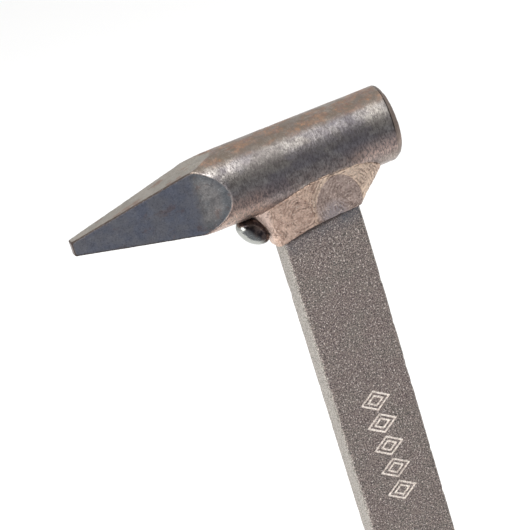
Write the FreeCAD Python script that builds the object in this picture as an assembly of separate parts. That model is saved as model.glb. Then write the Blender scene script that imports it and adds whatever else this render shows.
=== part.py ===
import FreeCAD, Part
import math
import os

# Farrier's steel-handled stamp: a round tool-steel head arc-welded across the end of a flat-bar handle.
# The frame is upright. +Z runs up the handle, +X points at the struck face, and the origin is the centre
# of the handle's butt face. Every length is in millimetres.

Vec = FreeCAD.Vector

# Driving dimensions
overall_height = 300.0       # butt of the handle to the top of the head
stock_diameter = 22.2        # seven-eighths inch round bar
bar_width = 25.0             # handle stock, along X
bar_thickness = 10.0         # handle stock, along Y
nose_reach = 69.2            # handle's centre line to the tip of the nose
struck_reach = 28.6          # handle's centre line to the struck face

# Nose: four facets that taper to a small blunt tip
tip_height = 4.2
tip_thickness = 3.6
tip_drop = 0.3               # the tip was drawn out slightly below the head's axis
top_slope = 0.200            # top and bottom facets, rise per millimetre of length
side_slope = 0.108           # long part of the front and back facets
shoulder_slope = 0.62        # steeper run-out of the front and back facets
shoulder_end = 23.9          # handle's centre line to where the run-out leaves the round
crease_radius = 9.0          # soft crease between side facet and shoulder
nose_edge_radius = 0.35

# Struck end: a hand-ground chamfer, deeper at the front and below than at the back and on top
chamfer_depth = 0.75
chamfer_slope = 0.625        # depth per millimetre of length
chamfer_shift = (0.45, 0.35)     # how far the grinding ran off the head's axis, along Y and Z

# Handle
root_gap = 1.0               # between the handle's top land and the head
bevel = 3.0                  # 45 degree weld preparation on both broad faces
bar_edge_radius = 0.7
butt_corner_radius = 3.0

# Decorative mark cut in the handle's front face
mark_top = 73.5              # below the head's axis
mark_length = 38.0
mark_width = 10.0
lozenge_count = 5
lozenge_gap = 0.8
groove_width = 0.6
groove_spacing = 1.2         # outer groove to inner groove, measured across
groove_depth = 0.3

# Weld. Levels and drops are measured down from the head's axis.
core_half = 3.0              # half thickness of the root pass and of the two end passes
section_points = 48          # points on each closed section curve
weld_centre = 4.0            # where each section's two ends meet, along X
weld_sections = (
    # level, reach to the nose side, reach to the struck side, half breadth, squareness of each end
    (24.0, 13.2, 12.8, 5.4, 8.0, 8.0),
    (20.0, 14.2, 12.8, 5.7, 6.0, 6.0),
    (15.5, 15.6, 16.7, 7.0, 3.2, 4.0),
    (10.5, 18.0, 21.5, 8.5, 2.4, 4.0),
    (6.0, 18.8, 24.3, 9.7, 2.4, 4.0),
    (2.0, 18.8, 26.1, 10.6, 2.4, 4.0),
)
weld_foot = ((-15.0, 22.1), (3.0, 18.6), (15.0, 18.9))     # arch along the weld's lower edge: x, drop
nose_lobe_ellipse = (-9.6, 16.0, 7.7, 9.4)                 # x, drop, radius along X, radius along Z
struck_lobe_ellipse = (6.1, 16.5, 7.4, 10.5)
droplet_length = 10.2
droplet_diameter = 6.5
droplet_place = (-18.9, -1.2, -15.5)   # centre, from the head's axis above the handle
droplet_fall = 45.0          # degrees below horizontal, towards the handle

# Worked out
head_radius = stock_diameter / 2
axis_z = overall_height - head_radius
half_width = bar_width / 2
half_thick = bar_thickness / 2
bar_top = axis_z - head_radius - root_gap
clear = 30.0                 # runs cutting shapes well past what they cut


def prism(points, direction):
    """Closed polygon of points, pushed along direction."""
    return Part.Face(Part.makePolygon(points + points[:1])).extrude(direction)


def slab(low, high):
    """Box between two corners."""
    size = [b - a for a, b in zip(low, high)]
    return Part.makeBox(*size, Vec(*low))


def ellipse_prism(centre_x, drop, radius_x, radius_z):
    """Upright ellipse in XZ, centred below the head's axis and pushed right through along Y."""
    curve = Part.Ellipse(Vec(0, 0, 0), max(radius_x, radius_z), min(radius_x, radius_z)).toShape()
    if radius_z > radius_x:
        curve.rotate(Vec(0, 0, 0), Vec(0, 0, 1), 90)
    curve.rotate(Vec(0, 0, 0), Vec(1, 0, 0), 90)
    curve.translate(Vec(centre_x, -clear, axis_z - drop))
    return Part.Face(Part.Wire(curve)).extrude(Vec(0, 2 * clear, 0))


def rounded_profile(start, corner, end, radius):
    """Line, tangent arc and line through three points."""
    into = (start - corner).normalize()
    out = (end - corner).normalize()
    half_angle = into.getAngle(out) / 2
    tangent = radius / math.tan(half_angle)
    middle = (into + out).normalize() * (radius / math.sin(half_angle) - radius)
    arc_start = corner + into * tangent
    arc_end = corner + out * tangent
    return [
        Part.LineSegment(start, arc_start).toShape(),
        Part.Arc(arc_start, corner + middle, arc_end).toShape(),
        Part.LineSegment(arc_end, end).toShape(),
    ]


def chamfer_ring():
    """What grinding takes off the struck end: a ring with a conical inside, slightly off the head's axis."""
    past = 1.0
    reach = 6.0
    rim = head_radius - chamfer_depth
    profile = [
        Vec(struck_reach + past, 0, rim - past * chamfer_slope),
        Vec(struck_reach + past, 0, clear),
        Vec(struck_reach - reach, 0, clear),
        Vec(struck_reach - reach, 0, rim + reach * chamfer_slope),
    ]
    ring = Part.Face(Part.makePolygon(profile + profile[:1])).revolve(Vec(0, 0, 0), Vec(1, 0, 0), 360)
    ring.translate(Vec(0, *chamfer_shift))
    return ring


def round_stock():
    """The blank: a length of round bar with its struck end chamfered."""
    blank = Part.makeCylinder(head_radius, nose_reach + struck_reach, Vec(-nose_reach, 0, 0), Vec(1, 0, 0))
    return blank.cut(chamfer_ring())


def height_wedge():
    """What the top and bottom facets leave, seen from the side."""
    reach = head_radius + clear
    tip = tip_height / 2
    run = (reach - tip) / top_slope
    outline = [
        Vec(-nose_reach, -clear, tip - tip_drop),
        Vec(-nose_reach + run, -clear, reach - tip_drop),
        Vec(-nose_reach + run, -clear, -reach - tip_drop),
        Vec(-nose_reach, -clear, -tip - tip_drop),
    ]
    return prism(outline, Vec(0, 2 * clear, 0))


def thickness_wedge():
    """What the front and back facets leave, seen from above: a shallow taper, a crease and a shoulder."""
    tip = Vec(-nose_reach, tip_thickness / 2, -clear)
    shoulder_top = Vec(-shoulder_end, head_radius, -clear)
    crease_run = head_radius - tip.y - shoulder_slope * (nose_reach - shoulder_end)
    crease_x = crease_run / (side_slope - shoulder_slope)
    crease = Vec(-nose_reach + crease_x, tip.y + side_slope * crease_x, -clear)
    past = shoulder_top + Vec(clear, shoulder_slope * clear, 0)
    edges = rounded_profile(tip, crease, past, crease_radius)
    mirrored = [edge.mirror(Vec(0, 0, 0), Vec(0, 1, 0)) for edge in edges]
    nose_end = Part.LineSegment(tip, Vec(tip.x, -tip.y, -clear)).toShape()
    far_end = Part.LineSegment(past, Vec(past.x, -past.y, -clear)).toShape()
    outline = Part.Wire(Part.__sortEdges__(edges + mirrored + [nose_end, far_end]))
    wedge = Part.Face(outline).extrude(Vec(0, 0, 2 * clear))
    rest = slab((past.x - 1, -clear, -clear), (struck_reach + 1, clear, clear))
    return wedge.fuse(rest)


def is_nose_edge(edge):
    """True for the four long corners between facets and for the edges of the tip."""
    box = edge.BoundBox
    return box.XMax < -shoulder_end - crease_radius and edge.Curve.TypeId == "Part::GeomLine"


def stamp_head():
    head = round_stock().common(height_wedge()).common(thickness_wedge()).removeSplitter()
    corners = [edge for edge in head.Edges if is_nose_edge(edge)]
    head = head.makeFillet(nose_edge_radius, corners)
    head.translate(Vec(0, 0, axis_z))
    return head


def bar_blank():
    """Flat bar with rounded corners at the butt and rolled edges all along."""
    bar = slab((-half_width, -half_thick, 0), (half_width, half_thick, bar_top))
    butt = [e for e in bar.Edges if e.BoundBox.ZMax < 0.01 and e.BoundBox.YLength > 1]
    bar = bar.makeFillet(butt_corner_radius, butt)
    long_edges = [e for e in bar.Edges if e.BoundBox.ZLength > bar_top / 2]
    return bar.makeFillet(bar_edge_radius, long_edges)


def bevel_cutter(side):
    """Wedge that takes the handle's top corner off on one broad face."""
    outline = [
        Vec(-clear, side * (half_thick - bevel), bar_top),
        Vec(-clear, side * (half_thick + 1), bar_top - bevel - 1),
        Vec(-clear, side * (half_thick + 1), bar_top + 1),
        Vec(-clear, side * (half_thick - bevel), bar_top + 1),
    ]
    return prism(outline, Vec(2 * clear, 0, 0))


def lozenge(half_length, half_breadth, centre_z):
    """Lozenge standing on its point, as a cutter of the groove's depth."""
    y = -half_thick - 1
    outline = [
        Vec(0, y, centre_z + half_length),
        Vec(half_breadth, y, centre_z),
        Vec(0, y, centre_z - half_length),
        Vec(-half_breadth, y, centre_z),
    ]
    return prism(outline, Vec(0, 1 + groove_depth, 0))


def mark_grooves():
    """A chain of lozenges, each drawn with two grooves."""
    pitch = mark_length / lozenge_count
    half_length = (pitch - lozenge_gap) / 2
    half_breadth = mark_width / 2
    slant = math.hypot(half_length, half_breadth)
    grooves = []
    for number in range(lozenge_count):
        centre_z = axis_z - mark_top - pitch * (number + 0.5)
        for inset in (0.0, groove_spacing):
            edges = []
            for shift in (inset, inset + groove_width):
                shrink = 1 - shift * slant / (half_length * half_breadth)
                edges.append(lozenge(half_length * shrink, half_breadth * shrink, centre_z))
            grooves.append(edges[0].cut(edges[1]))
    return grooves


def handle_bar():
    bar = bar_blank()
    for side in (-1, 1):
        bar = bar.cut(bevel_cutter(side))
    for groove in mark_grooves():
        bar = bar.cut(groove)
    return bar


def weld_section(level, nose_side, struck_side, half_breadth, nose_power, struck_power):
    """Closed horizontal curve round the joint: a superellipse with ends of different reach and squareness."""
    points = []
    for step in range(section_points):
        angle = 2 * math.pi * step / section_points
        along = math.cos(angle)
        across = math.sin(angle)
        reach, power = struck_side - weld_centre, struck_power
        if along < 0:
            reach, power = nose_side + weld_centre, nose_power
        radius = (abs(along) ** power + abs(across) ** power) ** (-1 / power)
        x = weld_centre + reach * radius * along
        points.append(Vec(x, half_breadth * radius * across, axis_z - level))
    curve = Part.BSplineCurve()
    curve.interpolate(points, PeriodicFlag=True)
    return Part.Wire(curve.toShape())


def weld_metal(head, bar):
    """All the weld between head and handle, before it is divided into passes."""
    envelope = Part.makeLoft([weld_section(*row) for row in weld_sections], True, False)
    arch = Part.Arc(*[Vec(x, -clear, axis_z - drop) for x, drop in weld_foot]).toShape()
    first, last = weld_foot[0], weld_foot[-1]
    below = [
        Vec(last[0], -clear, axis_z - last[1]),
        Vec(clear, -clear, axis_z - last[1]),
        Vec(clear, -clear, axis_z - clear),
        Vec(-clear, -clear, axis_z - clear),
        Vec(-clear, -clear, axis_z - first[1]),
        Vec(first[0], -clear, axis_z - first[1]),
    ]
    edges = [arch] + Part.makePolygon(below).Edges
    foot = Part.Face(Part.Wire(Part.__sortEdges__(edges))).extrude(Vec(0, 2 * clear, 0))
    return envelope.cut(foot).cut(head).cut(bar)


def weld_passes(metal):
    """The passes in the order they are laid: root, two ends, then three on each broad side."""
    core = slab((-clear, -core_half, 0), (clear, core_half, overall_height))
    inside = slab((-half_width, -clear, 0), (half_width, clear, overall_height))
    middle = metal.common(core)
    ends = middle.cut(inside)
    nose_end = slab((-clear, -clear, 0), (0, clear, overall_height))
    nose_lobe = ellipse_prism(*nose_lobe_ellipse)
    nose_lobe = nose_lobe.fuse(slab((-clear, -clear, 0), (nose_lobe_ellipse[0], clear, overall_height)))
    struck_lobe = ellipse_prism(*struck_lobe_ellipse)
    passes = {
        "root_weld": middle.common(inside),
        "nose_end_weld": ends.common(nose_end),
        "struck_end_weld": ends.cut(nose_end),
    }
    outer = metal.cut(core)
    for side, name in ((-1, "front"), (1, "back")):
        near = slab((-clear, min(0, side * clear), 0), (clear, max(0, side * clear), overall_height))
        flank = outer.common(near)
        passes[name + "_nose_weld"] = flank.common(nose_lobe)
        passes[name + "_struck_weld"] = flank.common(struck_lobe)
        passes[name + "_toe_weld"] = flank.cut(nose_lobe).cut(struck_lobe)
    return passes


def weld_droplet(solids):
    """Bead of weld metal that ran and froze under the head, cut to what it hangs on."""
    stretch = FreeCAD.Matrix()
    stretch.scale(droplet_length / droplet_diameter, 1, 1)
    bead = Part.makeSphere(droplet_diameter / 2).transformGeometry(stretch)
    bead.rotate(Vec(0, 0, 0), Vec(0, 1, 0), droplet_fall)
    bead.translate(Vec(*droplet_place) + Vec(0, 0, axis_z))
    for solid in solids:
        bead = bead.cut(solid)
    return bead


def main():
    nodes = {"stamp_head": stamp_head(), "handle_bar": handle_bar()}
    nodes.update(weld_passes(weld_metal(nodes["stamp_head"], nodes["handle_bar"])))
    nodes["weld_droplet"] = weld_droplet(list(nodes.values()))
    os.makedirs("parts", exist_ok=True)
    for name, shape in nodes.items():
        solids = shape.Solids
        print(name, shape.isValid(), len(solids), [round(s.Volume, 2) for s in solids], shape.BoundBox)
        shape.exportStep("parts/" + name + ".step")


main()
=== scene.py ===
import math

import bmesh
import bpy
import numpy as np
from mathutils import Matrix, Vector, noise


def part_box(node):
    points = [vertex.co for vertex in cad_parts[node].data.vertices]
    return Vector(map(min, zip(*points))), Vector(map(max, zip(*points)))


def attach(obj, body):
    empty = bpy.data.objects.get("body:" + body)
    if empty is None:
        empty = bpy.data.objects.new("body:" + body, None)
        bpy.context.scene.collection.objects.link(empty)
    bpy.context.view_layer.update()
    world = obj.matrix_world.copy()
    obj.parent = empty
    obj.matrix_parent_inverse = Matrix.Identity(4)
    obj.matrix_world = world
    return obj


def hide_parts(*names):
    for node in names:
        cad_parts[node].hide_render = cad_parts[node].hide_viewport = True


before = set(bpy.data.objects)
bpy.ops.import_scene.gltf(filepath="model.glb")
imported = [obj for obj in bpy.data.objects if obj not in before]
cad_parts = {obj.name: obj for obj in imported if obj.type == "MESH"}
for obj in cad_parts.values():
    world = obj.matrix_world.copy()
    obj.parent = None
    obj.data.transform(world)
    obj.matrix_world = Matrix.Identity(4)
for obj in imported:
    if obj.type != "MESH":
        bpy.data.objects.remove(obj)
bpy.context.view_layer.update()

# ---------------------------------------------------------------- sizes, from the frame
MM = 0.001
HEAD_LOW, HEAD_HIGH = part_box("stamp_head")
BAR_LOW, BAR_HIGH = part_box("handle_bar")
DROPLET_LOW, DROPLET_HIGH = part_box("weld_droplet")
HEAD_RADIUS = (HEAD_HIGH.y - HEAD_LOW.y) / 2
AXIS_Z = HEAD_HIGH.z - HEAD_RADIUS
HEAD_CENTRE = Vector((0, 0, AXIS_Z))
DROPLET_CENTRE = (DROPLET_LOW + DROPLET_HIGH) / 2
TOE_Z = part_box("front_toe_weld")[0].z      # foot of the weld on the handle

# ---------------------------------------------------------------- camera
AZIMUTH = math.radians(-14.11)
ELEVATION = math.radians(20.25)
ROLL = math.radians(-17.5)
DISTANCE = 0.58373
LENS_MM = 139.86
SENSOR_MM = 36.0
CLIP_NEAR = 0.01
CLIP_FAR = 100.0
AIM = HEAD_CENTRE + Vector((-19.3, -4.6, -24.83)) * MM     # where the camera's axis passes the head


def towards(azimuth, elevation):
    """Unit vector that points from the object towards an azimuth and elevation, both in radians."""
    return Vector((
        math.sin(azimuth) * math.cos(elevation),
        -math.cos(azimuth) * math.cos(elevation),
        math.sin(elevation),
    ))


def make_camera():
    """Long lens from the nose side and above, rolled so that the handle runs out at the bottom."""
    back = towards(AZIMUTH, ELEVATION)
    level_right = Vector((0, 0, 1)).cross(back).normalized()
    level_up = back.cross(level_right)
    right = level_right * math.cos(ROLL) + level_up * math.sin(ROLL)
    up = back.cross(right)
    data = bpy.data.cameras.new("camera")
    data.lens = LENS_MM
    data.sensor_width = SENSOR_MM
    data.clip_start = CLIP_NEAR
    data.clip_end = CLIP_FAR
    camera = bpy.data.objects.new("camera", data)
    turn = Matrix((right, up, back)).transposed()
    camera.matrix_world = Matrix.Translation(AIM + back * DISTANCE) @ turn.to_4x4()
    bpy.context.scene.collection.objects.link(camera)
    bpy.context.scene.camera = camera


# ---------------------------------------------------------------- shader building
class Tree:
    """Short calls for the nodes of one material. Lengths are in millimetres in the row frame."""

    def __init__(self, name):
        self.material = bpy.data.materials.new(name)
        self.material.use_nodes = True
        self.nodes = self.material.node_tree.nodes
        self.links = self.material.node_tree.links
        self.shader = self.nodes["Principled BSDF"]
        self.coordinates = self.nodes.new("ShaderNodeTexCoord")
        self.place = self.vector("SCALE", self.coordinates.outputs["Object"], scale=1 / MM)

    def set(self, socket, value):
        """Links the socket to another one, or gives it a plain value."""
        if isinstance(value, bpy.types.NodeSocket):
            self.links.new(value, socket)
        else:
            socket.default_value = value

    def vector(self, operation, first, second=(0, 0, 0), scale=1.0):
        """Vector arithmetic. SCALE takes a scale in place of the second vector."""
        node = self.nodes.new("ShaderNodeVectorMath")
        node.operation = operation
        self.set(node.inputs[0], first)
        if operation == "SCALE":
            self.set(node.inputs["Scale"], scale)
        else:
            self.set(node.inputs[1], second)
        return node.outputs["Value"] if operation == "LENGTH" else node.outputs["Vector"]

    def math(self, operation, first, second=0.0):
        node = self.nodes.new("ShaderNodeMath")
        node.operation = operation
        self.set(node.inputs[0], first)
        self.set(node.inputs[1], second)
        return node.outputs["Value"]

    def times(self, *shares):
        """All the shares multiplied together."""
        product = shares[0]
        for share in shares[1:]:
            product = self.math("MULTIPLY", product, share)
        return product

    def split(self, vector):
        """The vector's X, Y and Z."""
        node = self.nodes.new("ShaderNodeSeparateXYZ")
        self.set(node.inputs[0], vector)
        return node.outputs["X"], node.outputs["Y"], node.outputs["Z"]

    def from_point(self, centre):
        """Place of the surface as seen from a point in metres, as three sockets in millimetres."""
        return self.split(self.vector("SUBTRACT", self.place, tuple(centre / MM)))

    def facing(self):
        """The way the surface faces in the row frame, as three sockets."""
        return self.split(self.coordinates.outputs["Normal"])

    def distance(self, centre, weights=(1, 1, 1)):
        """Millimetres to a point in metres. A weight of 0 leaves that axis out."""
        away = self.vector("SUBTRACT", self.place, tuple(centre / MM))
        return self.vector("LENGTH", self.vector("MULTIPLY", away, weights))

    def noise(self, size, detail=4.0, roughness=0.55, stretch=(1, 1, 1), shift=0.0):
        """Cloudy noise from 0 to 1 whose patches measure about size, times stretch along each axis."""
        node = self.nodes.new("ShaderNodeTexNoise")
        fit = tuple(1 / (size * s) for s in stretch)
        place = self.vector("ADD", self.vector("MULTIPLY", self.place, fit), (shift, shift, shift))
        self.set(node.inputs["Vector"], place)
        node.inputs["Scale"].default_value = 1.0
        node.inputs["Detail"].default_value = detail
        node.inputs["Roughness"].default_value = roughness
        return node.outputs["Fac"]

    def cells(self, size):
        """Distance to the nearest of scattered points about size apart, as a share of size."""
        node = self.nodes.new("ShaderNodeTexVoronoi")
        self.set(node.inputs["Vector"], self.vector("SCALE", self.place, scale=1 / size))
        node.inputs["Scale"].default_value = 1.0
        return node.outputs["Distance"]

    def ramp(self, value, low, high, low_out=0.0, high_out=1.0):
        """Smooth step from low_out at low to high_out at high."""
        node = self.nodes.new("ShaderNodeMapRange")
        node.interpolation_type = "SMOOTHSTEP"
        node.inputs["From Min"].default_value = low
        node.inputs["From Max"].default_value = high
        node.inputs["To Min"].default_value = low_out
        node.inputs["To Max"].default_value = high_out
        self.set(node.inputs["Value"], value)
        return node.outputs["Result"]

    def edges(self, low, high):
        """1 where the mesh is bent outwards sharply, 0 where it is flat or hollow."""
        node = self.nodes.new("ShaderNodeNewGeometry")
        return self.ramp(node.outputs["Pointiness"], low, high)

    def blend(self, share, first, second):
        """The first colour where the share is 0, the second where it is 1."""
        node = self.nodes.new("ShaderNodeMix")
        node.data_type = "RGBA"
        self.set(node.inputs[0], share)
        self.set(node.inputs[6], paint(first))
        self.set(node.inputs[7], paint(second))
        return node.outputs[2]

    def bump(self, height, distance, normal=None):
        """Height from 0 to 1 stands for that distance in millimetres."""
        node = self.nodes.new("ShaderNodeBump")
        node.inputs["Distance"].default_value = distance * MM
        self.set(node.inputs["Height"], height)
        if normal:
            self.set(node.inputs["Normal"], normal)
        return node.outputs["Normal"]

    def finish(self, colour, roughness, metallic, normal):
        """Wires the four results into the shader and returns the material."""
        self.set(self.shader.inputs["Base Color"], colour)
        self.set(self.shader.inputs["Roughness"], roughness)
        self.set(self.shader.inputs["Metallic"], metallic)
        self.set(self.shader.inputs["Normal"], normal)
        return self.material


def linear(level):
    """One sRGB level from 0 to 255 as a linear share, by the curve that holds for all but near-black."""
    return ((level / 255 + 0.055) / 1.055) ** 2.4


def paint(colour):
    """A colour given as three sRGB levels becomes linear; a socket passes through."""
    if isinstance(colour, tuple):
        return (*[linear(level) for level in colour], 1.0)
    return colour


# ---------------------------------------------------------------- colours, sRGB from 0 to 255
# Ground facets of the nose
FACET_BLUE = (134, 138, 150), (146, 146, 150)
FACET_FLAT = (138, 132, 122), (150, 142, 132)
SHOULDER_GREY = (126, 127, 127), (132, 129, 127)
SHOULDER_RIM = (100, 104, 108)
STAIN_BROWN = (134, 108, 98)
SPOT_BROWN = (122, 92, 74)
# painted shade on the tip face
TIP_PAINTED_SHADE = (98, 80, 77)
FACET_SCRATCH_DARK = (84, 82, 84)
FACET_SCRATCH_LIGHT = (190, 190, 192)
# painted shade along the ridges between the nose facets
RIDGE_PAINTED_SHADE = (84, 74, 70)

# Round of the head and its struck end
STEEL = (124, 118, 116), (182, 176, 170)
STEEL_BLUISH = (122, 118, 128)
MARK_GREY = (96, 90, 89)
# painted highlight and painted shade for patches of the round's highlight band
PAINTED_HIGHLIGHT = (218, 210, 200)
PAINTED_DULL_SHADE = (112, 106, 103)
TOP_OXIDE = (122, 110, 98)
RUST = (116, 82, 70), (152, 112, 84)
# painted shade for the bottom of the struck end; pinkish tints brightened as a painted reflection of
# light from below
BOTTOM_PAINTED_SHADE = (104, 94, 88)
UNDER_PINK_AND_REFLECTION = (196, 168, 153)
STRUCK_END_PINK_AND_REFLECTION = (232, 205, 190)
SOOT = (76, 68, 67)
CHAMFER_BROWN = (112, 98, 90)
BURR_BLACK = (62, 56, 54)
WORN_RIM = (176, 166, 158)

# Handle
SCALE = (70, 60, 60), (68, 66, 62)
GRAIN_LIGHT = (163, 150, 143)
SPECK = (246, 238, 230)
# narrow sides of the handle painted lighter as painted light
SIDE_PAINTED_LIGHT = (90, 86, 81), (188, 181, 173)
HEAT_BLUE = (84, 90, 100)
# painted shadow under the weld's foot
TOE_PAINTED_SHADOW = (62, 50, 46)
WORN_CORNER = (190, 178, 156)
CUT_METAL = (182, 170, 162), (246, 238, 230)

# Weld and droplet
TAN = (156, 129, 115), (216, 188, 170)
GREY_BROWN = (134, 117, 110), (186, 166, 156)
PALE = (174, 152, 136), (234, 210, 188)
LOBE_RIM = (162, 134, 118), (216, 188, 168)
WELD_TINT = (150, 146, 152)
NOSE_END_PALE = (222, 198, 186)
BRUSH_DARK = (104, 84, 74)
WELD_GRAIN = (236, 218, 204)
WELD_GRIT = (98, 78, 68)
PIT = (72, 56, 50)
OXIDE = (52, 46, 48), (108, 94, 88)
# painted reflection of the floor and softbox on the droplet
DROPLET_PAINTED_REFLECTION = (156, 157, 153)
FLOOR = (250, 250, 250), (254, 254, 253)


# ---------------------------------------------------------------- materials
NOSE_END = -22.0         # millimetres from the handle's centre line; the facets lie beyond it
BRUSH_ARC = 0.95         # millimetres from one arc of the wire brush to the next
ARC_WANDER = 2.4         # millimetres that the arcs stray from circles
MARK_INSET = 3.0         # millimetres between the handle's edges and the cut mark, at least
TOE_SLANT = 0.12         # rise of the weld's foot per millimetre towards the struck side
TINT_PLACE = HEAD_CENTRE + Vector((4.0, 0, -17.5)) * MM      # middle of the weld's blue-grey tint

# centre, radius in millimetres, strength and colour of the patches of painted highlight and painted
# shade along the round's highlight band
PAINTED_HIGHLIGHT_PATCHES = (
    (HEAD_CENTRE + Vector((-19.5, -8.4, 7.0)) * MM, 3.6, 0.28, PAINTED_HIGHLIGHT),
    (HEAD_CENTRE + Vector((-11.0, -8.2, 7.4)) * MM, 6.0, 0.5, PAINTED_DULL_SHADE),
    (HEAD_CENTRE + Vector((3.0, -8.2, 7.4)) * MM, 6.0, 0.2, PAINTED_HIGHLIGHT),
    (HEAD_CENTRE + Vector((24.0, -8.2, 7.4)) * MM, 6.0, 0.6, PAINTED_HIGHLIGHT),
)


def ground_facets(t):
    """Colour of the ground nose: blue-grey sides, greyer shoulders, tan top and bottom, brown stains,
    and a tip face painted darker brown as painted shade.
    """
    face_x, _, face_z = t.facing()
    drift = t.noise(6.0, 4.0, 0.6, shift=2.0)
    grain = t.noise(0.45, 3.0, 0.7)
    from_axis = t.distance(HEAD_CENTRE, (0, 1, 1))
    radius = HEAD_RADIUS / MM

    # front and back facets; their shoulders face more towards the tip and darken at the round
    sides = t.blend(t.ramp(drift, 0.35, 0.65), *FACET_BLUE)
    shoulder = t.blend(t.ramp(drift, 0.4, 0.6), *SHOULDER_GREY)
    shoulder = t.blend(t.ramp(from_axis, radius - 2.4, radius - 0.3, 0.0, 0.7), shoulder, SHOULDER_RIM)
    sides = t.blend(t.ramp(face_x, -0.16, -0.42), sides, shoulder)
    stains = t.ramp(t.noise(3.4, 4.0, 0.65, (1.5, 1, 1), 3.0), 0.55, 0.67, 0.0, 0.4)
    sides = t.blend(stains, sides, STAIN_BROWN)

    # top and bottom facets
    flats = t.blend(t.ramp(drift, 0.35, 0.65), *FACET_FLAT)
    spots = t.ramp(t.noise(4.2, 3.0, 0.6, (1.6, 1, 1), 20.0), 0.56, 0.64, 0.0, 0.75)
    flats = t.blend(spots, flats, SPOT_BROWN)

    colour = t.blend(t.ramp(t.math("ABSOLUTE", face_z), 0.5, 0.8), sides, flats)
    # tip face painted darker brown as painted shade
    colour = t.blend(t.ramp(face_x, -0.75, -0.9), colour, TIP_PAINTED_SHADE)
    colour = t.blend(t.ramp(grain, 0.48, 0.66, 0.0, 0.4), colour, FACET_SCRATCH_DARK)
    return t.blend(t.ramp(grain, 0.42, 0.3, 0.0, 0.35), colour, FACET_SCRATCH_LIGHT)


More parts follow.
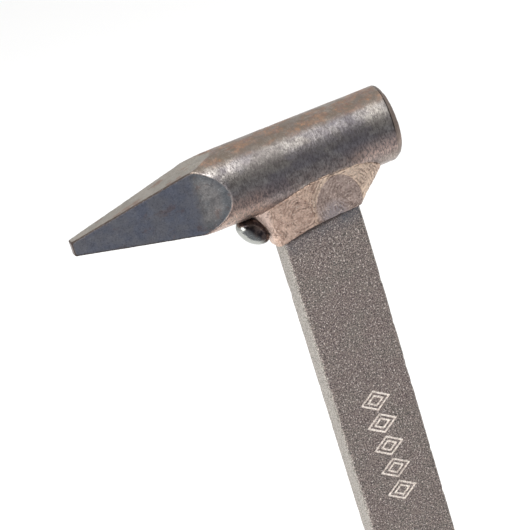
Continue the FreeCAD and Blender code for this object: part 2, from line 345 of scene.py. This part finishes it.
def head_steel():
    """Tool steel with patches of painted highlight and painted shade along its highlight band: fine
    marks round it, brown oxide and rust along the top, a painted reflection on the lower half.
    """
    t = Tree("head_steel")
    x, _, z = t.from_point(HEAD_CENTRE)
    face_x = t.facing()[0]
    radius = HEAD_RADIUS / MM
    inside = t.ramp(t.distance(HEAD_CENTRE, (0, 1, 1)), radius - 0.1, radius - 0.4)
    facet = t.times(inside, t.math("LESS_THAN", x, NOSE_END))
    off_facet = t.math("SUBTRACT", 1.0, facet)
    round_side = t.ramp(face_x, 0.9, 0.6)
    marks = t.noise(0.7, 4.0, 0.72, (0.6, 1.6, 1.6))
    cloud = t.noise(2.2, 5.0, 0.72, (1.2, 1, 1))
    drift = t.noise(6.0, 3.0, 0.5, (1.4, 1, 1), 5.0)

    # bare steel
    colour = t.blend(t.ramp(cloud, 0.36, 0.64), *STEEL)
    colour = t.blend(t.ramp(drift, 0.42, 0.58, 0.0, 0.5), colour, STEEL_BLUISH)
    colour = t.blend(t.ramp(marks, 0.44, 0.6, 0.0, 0.6), colour, MARK_GREY)
    # painted highlight and painted shade in patches along the highlight band
    for patch, size, strength, tone in PAINTED_HIGHLIGHT_PATCHES:
        painted_patch = t.ramp(t.distance(patch, (0.7, 1, 1)), size, size * 0.2, 0.0, strength)
        painted_patch = t.times(painted_patch, t.ramp(marks, 0.36, 0.58, 1.0, 0.25))
        colour = t.blend(painted_patch, colour, tone)

    # oxide and rust on top
    top = t.times(t.ramp(z, radius * 0.7, radius * 0.86), round_side)
    colour = t.blend(t.times(top, t.ramp(cloud, 0.36, 0.6, 0.95, 0.7)), colour, TOP_OXIDE)
    bloom = t.ramp(t.noise(3.6, 5.0, 0.7, (1.8, 1, 1), 11.0), 0.43, 0.58)
    rust = t.times(top, bloom, t.ramp(marks, 0.34, 0.56, 1.0, 0.4))
    rust_colour = t.blend(t.ramp(t.noise(2.0, 3.0, 0.6, shift=15.0), 0.42, 0.58), *RUST)
    colour = t.blend(t.times(rust, 0.75), colour, rust_colour)

    # pinkish brown lower half, brightened as a painted reflection of light from below, strongest at both
    # ends, and painted shade along the bottom of the struck end
    low = t.ramp(z, radius * 0.12, -radius * 0.35)
    ends = t.math("ADD", t.ramp(x, 8.0, 18.0, 0.0, 0.9), t.ramp(x, -11.0, -18.0, 0.0, 0.7))
    struck_end = t.ramp(x, 12.0, 20.0)
    bottom = t.ramp(z, -radius * 0.35, -radius * 0.6)
    # painted shade along the bottom of the struck end
    colour = t.blend(t.times(bottom, struck_end, round_side, 0.55), colour, BOTTOM_PAINTED_SHADE)
    # pinkish tint brightened as a painted reflection of light from below
    under = t.times(low, round_side, t.math("ADD", ends, 0.35), t.ramp(marks, 0.38, 0.6, 1.0, 0.3))
    under = t.times(under, t.math("SUBTRACT", 1.0, t.times(bottom, struck_end, 0.8)))
    colour = t.blend(under, colour, t.blend(struck_end, UNDER_PINK_AND_REFLECTION, STRUCK_END_PINK_AND_REFLECTION))
    colour = t.blend(t.times(low, round_side, t.ramp(marks, 0.46, 0.58, 0.0, 0.25)), colour, SOOT)

    # chamfer of the struck end, with a dark burr where it meets the round
    chamfer = t.times(t.ramp(face_x, 0.15, 0.35), t.ramp(face_x, 0.97, 0.9))
    colour = t.blend(t.times(chamfer, 0.85), colour, CHAMFER_BROWN)
    burr = t.times(t.ramp(face_x, 0.06, 0.16), t.ramp(face_x, 0.4, 0.3), t.ramp(z, -2.0, 2.0))
    colour = t.blend(burr, colour, BURR_BLACK)

    # nose, with ridges between its facets painted dark as painted shade that dims the key light's
    # highlight, and worn edges everywhere else
    ridge = t.times(facet, t.edges(0.505, 0.54))
    colour = t.blend(facet, colour, ground_facets(t))
    colour = t.blend(ridge, colour, RIDGE_PAINTED_SHADE)
    worn = t.times(t.edges(0.57, 0.66), t.ramp(t.noise(1.2, 3.0, 0.6), 0.35, 0.6, 0.2, 0.8))
    colour = t.blend(t.times(worn, off_facet), colour, WORN_RIM)

    rough = t.ramp(cloud, 0.36, 0.64, 0.42, 0.3)
    rough = t.math("ADD", rough, t.math("ADD", t.times(rust, 0.2), t.times(ridge, 0.4)))
    metal = t.ramp(rust, 0.0, 1.0, 1.0, 0.55)
    smoother = t.math("SUBTRACT", 1.0, t.times(facet, 0.8))
    normal = t.bump(t.times(marks, smoother), 0.07)
    normal = t.bump(t.times(cloud, smoother), 0.08, normal)
    normal = t.bump(t.noise(0.3, 2.0, 0.6, (1, 0.25, 0.25)), 0.006, normal)
    return t.finish(colour, rough, metal, normal)


def handle_steel():
    """Hot-rolled bar with a blasted grain, heat tint by the weld, a painted shadow under the weld's
    foot, sides painted lighter as painted light, bright mark and worn corners.
    """
    t = Tree("handle_steel")
    x, y, z = t.from_point(Vector((0, 0, 0)))
    across = t.math("SUBTRACT", BAR_HIGH.x / MM, t.math("ABSOLUTE", x))
    deep = t.math("SUBTRACT", BAR_HIGH.y / MM, t.math("ABSOLUTE", y))
    grain = t.noise(0.42, 3.0, 0.78)
    specks = t.noise(0.5, 1.0, 0.5, shift=31.0)
    cloud = t.noise(8.0, 4.0, 0.6)
    scale = t.blend(t.ramp(cloud, 0.38, 0.62), *SCALE)
    colour = t.blend(t.ramp(grain, 0.42, 0.6), scale, GRAIN_LIGHT)
    colour = t.blend(t.ramp(specks, 0.62, 0.69, 0.0, 0.9), colour, SPECK)

    # heat tint, and a painted shadow as a dark line under the weld's foot
    toe = t.math("ADD", z, t.times(x, -TOE_SLANT))
    toe = t.math("SUBTRACT", toe, TOE_Z / MM)
    heat = t.times(t.ramp(toe, -7.0, -1.0), t.ramp(cloud, 0.35, 0.6, 0.15, 0.6))
    colour = t.blend(heat, colour, HEAT_BLUE)
    # painted shadow under the weld's foot
    colour = t.blend(t.ramp(toe, -1.6, -0.4, 0.0, 0.75), colour, TOE_PAINTED_SHADOW)

    # narrow sides painted lighter as painted light falling on them, and the worn corners between them
    # and the broad faces
    side = t.ramp(t.math("ABSOLUTE", t.facing()[0]), 0.45, 0.75)
    # narrow sides painted lighter as painted light
    colour = t.blend(side, colour, t.blend(t.ramp(grain, 0.4, 0.6), *SIDE_PAINTED_LIGHT))
    corner = t.ramp(t.math("ADD", across, deep), 0.55, 0.25)
    worn = t.times(corner, t.ramp(t.noise(1.8, 4.0, 0.7, (1, 1, 2), 7.0), 0.45, 0.6))
    colour = t.blend(t.times(worn, 0.8), colour, WORN_CORNER)

    # grooves of the mark
    cut = t.times(t.ramp(deep, 0.1, 0.2), t.math("GREATER_THAN", across, MARK_INSET))
    colour = t.blend(cut, colour, t.blend(t.ramp(t.noise(0.5, 3.0, 0.6), 0.35, 0.65), *CUT_METAL))

    rough = t.ramp(grain, 0.25, 0.75, 0.5, 0.7)
    metal = t.times(t.ramp(specks, 0.5, 0.7, 0.5, 0.9), t.ramp(cut, 0.0, 1.0, 1.0, 0.3))
    normal = t.bump(grain, 0.1)
    normal = t.bump(cloud, 0.1, normal)
    return t.finish(colour, rough, metal, normal)


def weld_metal(name, tones, swirl):
    """Wire-brushed weld bead between two tones. The brush left broken arcs round the swirl's centre."""
    t = Tree(name)
    x = t.from_point(Vector((0, 0, 0)))[0]
    wander = t.noise(3.0, 3.0, 0.6)
    reach = t.math("ADD", t.distance(swirl, (1, 0, 1)), t.times(wander, ARC_WANDER))
    arcs = t.math("SINE", t.times(reach, 2 * math.pi / BRUSH_ARC))
    patchy = t.ramp(t.noise(2.6, 3.0, 0.6, shift=13.0), 0.42, 0.58)
    cloud = t.noise(2.2, 5.0, 0.7)
    grain = t.noise(0.5, 3.0, 0.7)
    grit = t.noise(0.6, 3.0, 0.7, shift=21.0)

    # tan far from the swirl, blue-grey in one place at the foot, palest at the joint's nose end
    colour = t.blend(t.ramp(cloud, 0.36, 0.64), *tones)
    lobe_rim = t.blend(t.ramp(cloud, 0.38, 0.62), *LOBE_RIM)
    colour = t.blend(t.ramp(reach, 11.2, 13.2, 0.0, 0.8), colour, lobe_rim)
    tint = t.ramp(t.distance(TINT_PLACE, (1, 0, 1)), 5.5, 2.0, 0.0, 0.55)
    colour = t.blend(tint, colour, WELD_TINT)
    pale = t.times(t.ramp(x, -13.4, -15.2), t.ramp(cloud, 0.3, 0.55, 0.6, 1.0))
    colour = t.blend(pale, colour, NOSE_END_PALE)

    # brush arcs, grain, grit and pits
    scored = t.times(t.ramp(arcs, -0.4, 0.8), patchy, t.math("SUBTRACT", 0.6, t.times(pale, 0.5)))
    colour = t.blend(scored, colour, BRUSH_DARK)
    colour = t.blend(t.ramp(grain, 0.54, 0.66, 0.0, 0.6), colour, WELD_GRAIN)
    colour = t.blend(t.ramp(grit, 0.55, 0.68, 0.0, 0.6), colour, WELD_GRIT)
    pits = t.times(t.ramp(t.cells(1.3), 0.26, 0.1), t.ramp(cloud, 0.5, 0.42, 0.0, 0.85))
    colour = t.blend(pits, colour, PIT)

    rough = t.ramp(grain, 0.2, 0.8, 0.42, 0.6)
    metal = t.ramp(cloud, 0.3, 0.7, 0.55, 0.8)
    normal = t.bump(t.times(t.ramp(arcs, -0.8, 0.8), patchy), 0.03)
    normal = t.bump(grain, 0.07, normal)
    return t.finish(colour, rough, metal, normal)


def droplet_metal():
    """Frozen weld metal: dark glassy oxide, with a painted reflection of the floor and softbox that
    makes it brighter on the side away from the joint and below.
    """
    t = Tree("droplet_metal")
    x, _, z = t.from_point(DROPLET_CENTRE)
    skin = t.noise(1.6, 4.0, 0.6)
    outer = t.math("ADD", t.times(x, 0.75), t.times(z, 0.6))
    outer = t.math("ADD", outer, t.times(skin, 1.6))
    colour = t.blend(t.ramp(skin, 0.4, 0.6), *OXIDE)
    # painted reflection, lighter on the side away from the joint and below
    colour = t.blend(t.ramp(outer, 0.9, -0.5), colour, DROPLET_PAINTED_REFLECTION)
    rough = t.ramp(t.noise(0.7, 3.0, 0.6), 0.3, 0.8, 0.12, 0.3)
    return t.finish(colour, rough, 0.95, t.bump(skin, 0.08))


def floor_white():
    """Plain studio white with hardly any variation."""
    t = Tree("floor_white")
    colour = t.blend(t.noise(400.0, 2.0, 0.5), *FLOOR)
    return t.finish(colour, 0.8, 0.0, t.bump(t.noise(3.0, 3.0, 0.5), 0.005))


# ---------------------------------------------------------------- sculpting
VOXEL_HEAD = 0.28 * MM
VOXEL_WELD = 0.22 * MM
VOXEL_BAR = 0.5 * MM
WEAR_HEAD = 1                # rounds of smoothing that soften a piece's edges
WEAR_WELD = 2
WEAR_BAR = 2
WEAR_DROPLET = 4
WEAR_SHARE = 0.5             # share of the way to its neighbours' middle that a point moves each round

# layers of unevenness: height, patch size and seed, all but the seed in millimetres
HEAD_LUMPS = ((0.07, 9.0, 0.0), (0.035, 3.0, 4.0), (0.012, 0.9, 9.0))
BAR_LUMPS = ((0.05, 14.0, 0.0), (0.02, 2.5, 5.0))
CORNER_LUMPS = ((0.1, 5.0, 8.0),)
WELD_LUMPS = ((0.16, 2.8, 2.0), (0.06, 0.8, 6.0))
DROPLET_LUMPS = ((0.05, 2.5, 0.0),)
RIPPLE_WANDER = ((0.6, 4.0, 0.0),)     # its height is in ripples instead

# everything else about the surfaces, with lengths in millimetres
DENT_DEPTH = 0.3
DENT_SIZE = 2.6
DENT_SEED = 12.0
DENT_RIM = 0.3               # depth below the struck face at which its dents die away
CORNER_REACH = 1.6           # width of the handle's rounded corners that nicks can touch
NICK_DEPTH = 0.7
NICK_SIZE = 2.2
NICK_SEED = 3.0
NICK_LEVEL = 0.15            # the corner stays whole where the noise, from -1 to 1, is below this
RIPPLE = 1.15                # from one weld ripple to the next
RIPPLE_HEIGHT = 0.025
WELD_SWELL = 0.12            # how far the beads stand proud of their plain solids
DROPLET_SWELL = 0.08
DROPLET_FLARE = 0.14         # extra swelling per millimetre above the droplet's middle


def copy_node(name, node):
    """A new object with the shape of a CAD node."""
    obj = bpy.data.objects.new(name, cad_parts[node].data.copy())
    bpy.context.scene.collection.objects.link(obj)
    obj.data.materials.clear()
    return obj


def settle(obj):
    """Applies the object's modifiers."""
    made = bpy.data.meshes.new_from_object(obj.evaluated_get(bpy.context.evaluated_depsgraph_get()))
    obj.modifiers.clear()
    old = obj.data
    obj.data = made
    bpy.data.meshes.remove(old)


def clay(obj, voxel, rounds):
    """Turns the shape into an even mesh that can be sculpted, its edges worn by rounds of smoothing."""
    remesh = obj.modifiers.new("even", "REMESH")
    remesh.mode = "VOXEL"
    remesh.voxel_size = voxel
    smooth = obj.modifiers.new("worn", "SMOOTH")
    smooth.factor = WEAR_SHARE
    smooth.iterations = rounds
    settle(obj)


def carve(obj, height):
    """Moves every point along its normal by height(place), both in millimetres."""
    mesh = obj.data
    count = len(mesh.vertices)
    places = np.empty(count * 3, np.float32)
    normals = np.empty(count * 3, np.float32)
    mesh.vertices.foreach_get("co", places)
    mesh.vertices.foreach_get("normal", normals)
    places = places.reshape(-1, 3)
    normals = normals.reshape(-1, 3)
    moves = np.array([height(Vector(p)) for p in places / MM], np.float32)
    mesh.vertices.foreach_set("co", (places + normals * moves[:, None] * MM).ravel())
    mesh.shade_smooth()
    mesh.update()


def rough_noise(place, size, seed=0.0):
    """Perlin noise from about -1 to 1 with patches of that size in millimetres."""
    return noise.noise(place / size + Vector((seed, seed, seed)))


def lumps(place, layers):
    """Sum of layers of rough noise, each given as its height, its patch size and its seed."""
    return sum(height * rough_noise(place, size, seed) for height, size, seed in layers)


def head_height(place):
    """Hand-forged unevenness of the head, and hammer dents in its struck face."""
    struck = max(0.0, 1 - (HEAD_HIGH.x / MM - place.x) / DENT_RIM)
    dent = max(0.0, rough_noise(place, DENT_SIZE, DENT_SEED))
    return lumps(place, HEAD_LUMPS) - DENT_DEPTH * struck * dent


def bar_height(place):
    """Mill unevenness of the bar, with nicks along its four long corners."""
    across = BAR_HIGH.x / MM - abs(place.x)
    deep = BAR_HIGH.y / MM - abs(place.y)
    corner = max(0.0, 1 - (across + deep) / CORNER_REACH)
    nick = min(0.0, NICK_LEVEL - rough_noise(place, NICK_SIZE, NICK_SEED))
    return lumps(place, BAR_LUMPS) + corner * (lumps(place, CORNER_LUMPS) + NICK_DEPTH * nick)


def weld_height(swirl):
    """Ripples round the swirl's centre, lumps between them and fine grit."""
    centre = swirl / MM

    def height(place):
        reach = math.hypot(place.x - centre.x, place.z - centre.z)
        phase = 2 * math.pi * (reach / RIPPLE + lumps(place, RIPPLE_WANDER))
        return WELD_SWELL + RIPPLE_HEIGHT * math.sin(phase) + lumps(place, WELD_LUMPS)

    return height


def droplet_height(place):
    """The droplet swells towards its top, where it hangs from the head."""
    above = max(0.0, place.z - DROPLET_CENTRE.z / MM)
    return DROPLET_SWELL + DROPLET_FLARE * above + lumps(place, DROPLET_LUMPS)


# ---------------------------------------------------------------- the object
NOSE_SWIRL = HEAD_CENTRE + Vector((-5.0, 0, -15.0)) * MM
STRUCK_SWIRL = HEAD_CENTRE + Vector((9.5, 0, -13.5)) * MM
NOSE_END_SWIRL = HEAD_CENTRE + Vector((-16.0, 0, -4.0)) * MM
STRUCK_END_SWIRL = HEAD_CENTRE + Vector((18.0, 0, -4.0)) * MM

# node, its dark and light colours, and the point that its ripples and brush marks go round
WELD_PASSES = (
    ("front_nose_weld", TAN, NOSE_SWIRL),
    ("front_struck_weld", GREY_BROWN, STRUCK_SWIRL),
    ("front_toe_weld", PALE, STRUCK_SWIRL),
    ("back_nose_weld", TAN, NOSE_SWIRL),
    ("back_struck_weld", GREY_BROWN, STRUCK_SWIRL),
    ("back_toe_weld", PALE, STRUCK_SWIRL),
    ("nose_end_weld", PALE, NOSE_END_SWIRL),
    ("struck_end_weld", PALE, STRUCK_END_SWIRL),
)

LOZENGES = 5
LOZENGE_GAP = 0.8 * MM
GROOVE_WIDTH = 0.6 * MM
GROOVE_SPACING = 1.2 * MM            # from the outer groove of a lozenge to its inner one
GROOVE_FLOORS = (0.1 * MM, 0.5 * MM)     # depths between which the CAD grooves have their floors
MARK_HEIGHTS = (0.5, 0.8)            # the mark lies between these shares of the head axis's height
CUTTER_RISE = 1.0 * MM               # how far the cutter stands out of the handle
GROOVE_ANGLE = math.radians(40)      # edges bent more than this stay sharp


def dress(node, piece, material):
    """Gives the piece its material and puts it in the node's place."""
    piece.data.materials.append(material)
    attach(piece, "root")
    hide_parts(node)


def make_head():
    """The head, forged uneven, with dents in its struck face."""
    head = copy_node("head_forged", "stamp_head")
    clay(head, VOXEL_HEAD, WEAR_HEAD)
    carve(head, head_height)
    dress("stamp_head", head, head_steel())


def make_welds():
    """Every pass as a sculpted bead; the root pass is hidden inside and only gets its material."""
    for node, tones, swirl in WELD_PASSES:
        bead = copy_node(node + "_bead", node)
        clay(bead, VOXEL_WELD, WEAR_WELD)
        carve(bead, weld_height(swirl))
        dress(node, bead, weld_metal(node + "_metal", tones, swirl))
    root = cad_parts["root_weld"]
    root.data.materials.clear()
    root.data.materials.append(weld_metal("root_weld_metal", TAN, NOSE_SWIRL))


def make_droplet():
    """The frozen droplet, rounded until it looks poured."""
    droplet = copy_node("droplet_bead", "weld_droplet")
    clay(droplet, VOXEL_WELD, WEAR_DROPLET)
    carve(droplet, droplet_height)
    dress("weld_droplet", droplet, droplet_metal())


def mark_box():
    """Lowest and highest corners of the mark, read from the floors of its grooves in the CAD handle."""
    shallow, deep = GROOVE_FLOORS
    lowest, highest = MARK_HEIGHTS
    floors = [
        vertex.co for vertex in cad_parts["handle_bar"].data.vertices
        if shallow < vertex.co.y - BAR_LOW.y < deep
        and abs(vertex.co.x) < BAR_HIGH.x / 2
        and lowest < vertex.co.z / AXIS_Z < highest
    ]
    low = Vector([min(p[axis] for p in floors) for axis in range(3)])
    high = Vector([max(p[axis] for p in floors) for axis in range(3)])
    return low, high


def lozenge_ring(bm, centre_z, half_width, half_height, shares, depths):
    """Adds a closed lozenge ring between two shares of the full size and between two depths along Y."""
    outer, inner = shares
    near, far = depths
    corners = ((0, half_height), (half_width, 0), (0, -half_height), (-half_width, 0))
    rings = []
    for y, share in ((near, outer), (near, inner), (far, inner), (far, outer)):
        rings.append([bm.verts.new((x * share, y, centre_z + z * share)) for x, z in corners])
    for ring, following in zip(rings, rings[1:] + rings[:1]):
        for corner in range(4):
            beside = (corner + 1) % 4
            bm.faces.new((ring[corner], ring[beside], following[beside], following[corner]))


def mark_cutter():
    """The chain of lozenges, each drawn with two grooves, as one object to cut away."""
    low, high = mark_box()
    pitch = (high.z - low.z + LOZENGE_GAP) / LOZENGES
    half_height = (pitch - LOZENGE_GAP) / 2
    half_width = (high.x - low.x) / 2
    slant = math.hypot(half_width, half_height)
    bm = bmesh.new()
    for number in range(LOZENGES):
        centre_z = high.z - half_height - pitch * number
        for inset in (0.0, GROOVE_SPACING):
            # a groove lies between two outlines, each a smaller share of the whole lozenge
            edges = (inset, inset + GROOVE_WIDTH)
            shares = [1 - edge * slant / (half_width * half_height) for edge in edges]
            lozenge_ring(bm, centre_z, half_width, half_height, shares, (BAR_LOW.y - CUTTER_RISE, low.y))
    bmesh.ops.recalc_face_normals(bm, faces=bm.faces)
    mesh = bpy.data.meshes.new("mark")
    bm.to_mesh(mesh)
    bm.free()
    cutter = bpy.data.objects.new("mark", mesh)
    bpy.context.scene.collection.objects.link(cutter)
    return cutter


def make_handle():
    """The bar, with its mark cut after the surface is worn, so that the grooves stay crisp."""
    bar = copy_node("handle_worn", "handle_bar")
    clay(bar, VOXEL_BAR, WEAR_BAR)
    carve(bar, bar_height)
    cutter = mark_cutter()
    cut = bar.modifiers.new("mark", "BOOLEAN")
    cut.operation = "DIFFERENCE"
    cut.object = cutter
    settle(bar)
    bpy.data.meshes.remove(cutter.data)
    bar.data.set_sharp_from_angle(angle=GROOVE_ANGLE)
    dress("handle_bar", bar, handle_steel())


# ---------------------------------------------------------------- studio, in metres and watts
FLOOR_RADIUS = 20.0
KEY_PLACE = Vector((-0.5, -0.75, 1.6))
KEY_SIZE = 1.2
KEY_POWER = 25.0
BOX_AIM = towards(math.radians(-50), math.radians(12))       # where the droplet's bright spot comes from
BOX_DISTANCE = 1.2
BOX_SIZE = 0.6
BOX_POWER = 5.5
CARD_FOOT = Vector((0, -0.06, 0.04))      # middle of the card's lower edge
CARD_TOP = Vector((0, -0.50, 0.33))       # middle of its upper edge
CARD_SPAN = (-0.45, 0.50)                 # its two ends along X
CARD_GREY = (0.34, 0.35, 0.39, 1.0)
DARK_SIDE = Vector((0.1, -0.97, 0.05)).normalized()     # direction in which the white room is dimmest
DARK_STRENGTH = 0.2
DARK_SPREAD = (0.25, 0.9)            # cosines to that direction where the dimming starts and is full


def make_floor():
    """Round floor at the foot of the handle, far wider than the picture."""
    bpy.ops.mesh.primitive_circle_add(vertices=96, radius=FLOOR_RADIUS, fill_type="NGON")
    floor = bpy.context.object
    floor.name = "floor"
    floor.data.materials.append(floor_white())


def make_card():
    """Grey card in front of the object and below the camera, seen only in reflections."""
    mesh = bpy.data.meshes.new("card")
    corners = [(x, end.y, end.z) for end in (CARD_FOOT, CARD_TOP) for x in CARD_SPAN]
    mesh.from_pydata(corners, [], [(0, 1, 3, 2)])
    card = bpy.data.objects.new("card", mesh)
    bpy.context.scene.collection.objects.link(card)
    grey = Tree("card_grey")
    grey.shader.inputs["Base Color"].default_value = (0, 0, 0, 1)
    grey.shader.inputs["Specular IOR Level"].default_value = 0.0
    grey.shader.inputs["Emission Color"].default_value = CARD_GREY
    grey.shader.inputs["Emission Strength"].default_value = 1.0
    mesh.materials.append(grey.material)
    card.visible_camera = False
    card.visible_diffuse = False
    card.visible_shadow = False


def make_light(name, place, size, power, aim):
    """Round soft light that the camera does not see, turned towards a point."""
    data = bpy.data.lights.new(name, "AREA")
    data.shape = "DISK"
    data.size = size
    data.energy = power
    light = bpy.data.objects.new(name, data)
    light.location = place
    light.rotation_mode = "QUATERNION"
    light.rotation_quaternion = (aim - place).to_track_quat("-Z", "Y")
    light.visible_camera = False
    bpy.context.scene.collection.objects.link(light)


def make_world():
    """White studio all round, dimmer in front of the object."""
    world = bpy.data.worlds.new("studio")
    world.use_nodes = True
    nodes = world.node_tree.nodes
    links = world.node_tree.links
    background = nodes["Background"]
    background.inputs["Color"].default_value = (1, 1, 1, 1)
    coordinates = nodes.new("ShaderNodeTexCoord")
    dot = nodes.new("ShaderNodeVectorMath")
    dot.operation = "DOT_PRODUCT"
    dot.inputs[1].default_value = DARK_SIDE
    links.new(coordinates.outputs["Generated"], dot.inputs[0])
    shade = nodes.new("ShaderNodeMapRange")
    shade.interpolation_type = "SMOOTHSTEP"
    shade.inputs["From Min"].default_value = DARK_SPREAD[0]
    shade.inputs["From Max"].default_value = DARK_SPREAD[1]
    shade.inputs["To Min"].default_value = 1.0
    shade.inputs["To Max"].default_value = DARK_STRENGTH
    links.new(dot.outputs["Value"], shade.inputs["Value"])
    links.new(shade.outputs["Result"], background.inputs["Strength"])
    bpy.context.scene.world = world


def main():
    make_camera()
    make_head()
    make_welds()
    make_droplet()
    make_handle()
    make_floor()
    make_card()
    make_world()
    make_light("key", KEY_PLACE, KEY_SIZE, KEY_POWER, HEAD_CENTRE)
    make_light("softbox", DROPLET_CENTRE + BOX_AIM * BOX_DISTANCE, BOX_SIZE, BOX_POWER, DROPLET_CENTRE)
    bpy.context.scene.view_settings.view_transform = "Standard"


main()
